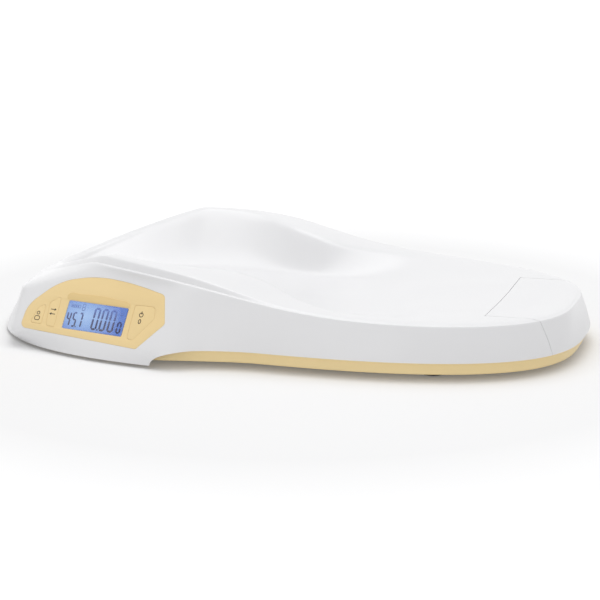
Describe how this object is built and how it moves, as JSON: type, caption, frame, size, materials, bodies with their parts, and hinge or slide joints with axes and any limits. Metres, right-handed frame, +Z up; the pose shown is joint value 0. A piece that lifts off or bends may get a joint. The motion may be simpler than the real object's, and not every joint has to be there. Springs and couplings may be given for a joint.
{
  "type": "digital baby weighing scale",
  "caption": "Low white baby scale with a scooped tray, sloping backlit display and keys, and a foot end that pulls out to measure length.",
  "frame": {"origin": "on the ground surface, under the middle of the scale's outer box", "axes": "+X along the length to the baby's foot end, +Z up, the display looks towards -Y"},
  "size_m": [0.5689, 0.3606, 0.0877],
  "materials": {
    "white_abs": "glossy white ABS",
    "yellow_abs": "satin cream yellow ABS",
    "key_yellow": "satin, same colour as the faceplate",
    "clear_acrylic": "clear acrylic window",
    "lcd_blue": "blue backlit liquid crystal display",
    "diffuser": "milky light guide",
    "board": "green circuit board",
    "silicone": "grey silicone",
    "acetal": "natural acetal",
    "black_abs": "black ABS",
    "cell_steel": "plain steel",
    "foot_grey": "grey plastic",
    "foot_rubber": "dark rubber",
    "battery_sleeve": "plain blue sleeve, no print",
    "nickel": "nickel plated",
    "screw_steel": "zinc plated steel"
  },
  "bodies": {
    "housing": {"top_shell": "white_abs", "base_shell": "yellow_abs", "faceplate": "yellow_abs", "battery_box": "yellow_abs", "display_lens": "clear_acrylic", "lcd_glass": "lcd_blue", "lcd_backlight": "diffuser", "display_board": "board", "main_board": "board", "sensor_board": "board", "key_mat_left": "silicone", "key_mat_right": "silicone", "slide_guide_front": "acetal", "slide_guide_back": "acetal", "cell_retainer_head_front": "acetal", "cell_retainer_head_back": "acetal", "cell_retainer_tail_front": "acetal", "cell_retainer_tail_back": "acetal", "length_sensor": "black_abs", "load_cell_head_front": "cell_steel", "load_cell_head_back": "cell_steel", "load_cell_tail_front": "cell_steel", "load_cell_tail_back": "cell_steel", "foot_cup_head_front": "foot_grey", "foot_cup_head_back": "foot_grey", "foot_cup_tail_front": "foot_grey", "foot_cup_tail_back": "foot_grey", "foot_pad_head_front": "foot_rubber", "foot_pad_head_back": "foot_rubber", "foot_pad_tail_front": "foot_rubber", "foot_pad_tail_back": "foot_rubber", "battery_1": "battery_sleeve", "battery_2": "battery_sleeve", "battery_3": "battery_sleeve", "battery_4": "battery_sleeve", "contact_front_1": "nickel", "contact_front_2": "nickel", "contact_back_1": "nickel", "contact_back_2": "nickel", "contact_back_3": "nickel", "board_screw_1": "screw_steel", "board_screw_2": "screw_steel", "display_screw_1": "screw_steel", "display_screw_2": "screw_steel", "case_screw_head_front": "screw_steel", "case_screw_head_back": "screw_steel", "case_screw_middle_front": "screw_steel", "case_screw_middle_back": "screw_steel", "case_screw_tail_front": "screw_steel", "case_screw_tail_back": "screw_steel"},
    "foot_slide": {"foot_slide": "white_abs", "slide_rack": "acetal"},
    "length_pinion": {"length_pinion": "acetal"},
    "key_user": {"key_user": "key_yellow"},
    "key_unit": {"key_unit": "key_yellow"},
    "key_zero": {"key_zero": "key_yellow"},
    "battery_door": {"battery_door": "yellow_abs"}
  },
  "joints": [
    {"name": "foot_slide_out", "type": "slide", "parent": "housing", "child": "foot_slide", "axis": [1, 0, 0], "range_m": [0, 0.15]},
    {"name": "length_pinion_turn", "type": "hinge", "parent": "housing", "child": "length_pinion", "pos_m": [0.1785, 0.012, 0.015], "axis": [0, 0, 1], "range_deg": [0, 717]},
    {"name": "key_user_press", "type": "slide", "parent": "housing", "child": "key_user", "axis": [0.1243, 0.8417, -0.5255], "range_m": [0, 0.0007], "stiffness_N_per_m": 400, "springref_m": -0.002},
    {"name": "key_unit_press", "type": "slide", "parent": "housing", "child": "key_unit", "axis": [0.1243, 0.8417, -0.5255], "range_m": [0, 0.0007], "stiffness_N_per_m": 400, "springref_m": -0.002},
    {"name": "key_zero_press", "type": "slide", "parent": "housing", "child": "key_zero", "axis": [0.1243, 0.8417, -0.5255], "range_m": [0, 0.0007], "stiffness_N_per_m": 400, "springref_m": -0.002},
    {"name": "battery_door_hinge", "type": "hinge", "parent": "housing", "child": "battery_door", "pos_m": [-0.16572, 0, 0.006], "axis": [0, 1, 0], "range_deg": [0, 75]}
  ],
  "couplings": [
    {"joint": "length_pinion_turn", "follows": "foot_slide_out", "rad_per_m": 83.333}
  ]
}
